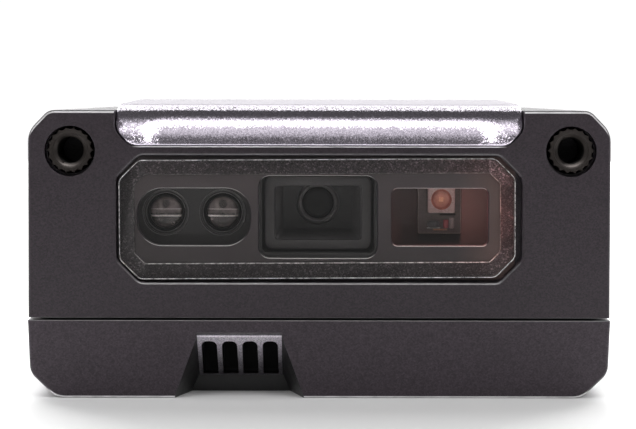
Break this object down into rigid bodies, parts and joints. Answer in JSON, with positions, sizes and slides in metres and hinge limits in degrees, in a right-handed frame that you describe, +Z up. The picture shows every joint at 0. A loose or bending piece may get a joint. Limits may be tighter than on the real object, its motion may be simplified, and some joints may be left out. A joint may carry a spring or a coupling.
{
  "type": "presentation barcode reader",
  "caption": "Compact box-shaped barcode reader with a recessed front window over camera and lamps, silver top trim, threaded inserts, a sound notch and a rear lead socket.",
  "frame": {"origin": "on the table, under the middle of the case", "axes": "+Z up, the window faces -Y, +X to the right seen from the front"},
  "size_m": [0.0584, 0.0636, 0.0299],
  "materials": {
    "case_plastic": "fine moulded texture, dark charcoal",
    "trim_silver": "silver lacquer with fine metallic flake",
    "adhesive_film": "thin black film",
    "window_clear": "clear, very lightly smoked, polished",
    "gasket_band": "speckled black adhesive foam",
    "insert_metal": "knurled, dark, slightly brown",
    "seal_rubber": "soft black",
    "screw_steel": "zinc plated",
    "optics_black": "flat black moulding",
    "lens_clear": "clear moulded lens",
    "board_laminate": "green solder mask",
    "lamp_white": "white lamp package",
    "barrel_black": "black turned barrel",
    "lens_glass": "coated optical glass",
    "sensor_face": "dark sensor package",
    "connector_ivory": "ivory moulding",
    "board_dark": "dark solder mask",
    "lamp_amber": "pale package with an orange die",
    "chip_black": "moulded package",
    "can_aluminium": "bright can",
    "flex_amber": "amber film",
    "jack_black": "black moulding",
    "contact_gold": "gold plated",
    "beeper_black": "black moulding",
    "mesh_black": "fine black mesh"
  },
  "bodies": {
    "root": {"lower_case": "case_plastic", "upper_case": "case_plastic", "top_cover": "trim_silver", "cover_adhesive": "adhesive_film", "window_pane": "window_clear", "window_gasket": "gasket_band", "front_inserts": "insert_metal", "case_gasket": "seal_rubber", "case_screws": "screw_steel", "optics_chassis": "optics_black", "engine_screws": "screw_steel", "illumination_lens_left": "lens_clear", "illumination_lens_right": "lens_clear", "illumination_board": "board_laminate", "illumination_leds": "lamp_white", "camera_hood": "optics_black", "lens_barrel": "barrel_black", "front_lens": "lens_glass", "rear_lens": "lens_glass", "lens_holder": "optics_black", "image_sensor": "sensor_face", "sensor_board": "board_laminate", "sensor_screws": "screw_steel", "sensor_connector": "connector_ivory", "aimer_board": "board_dark", "aimer_led": "lamp_amber", "aimer_resistors": "chip_black", "main_board": "board_laminate", "board_screws": "screw_steel", "processor_chip": "chip_black", "memory_chip": "chip_black", "capacitors": "can_aluminium", "flex_connector": "connector_ivory", "flex_cable": "flex_amber", "modular_jack": "jack_black", "jack_contacts": "contact_gold", "beeper": "beeper_black", "sound_mesh": "mesh_black", "sound_grille": "trim_silver"}
  },
  "joints": []
}
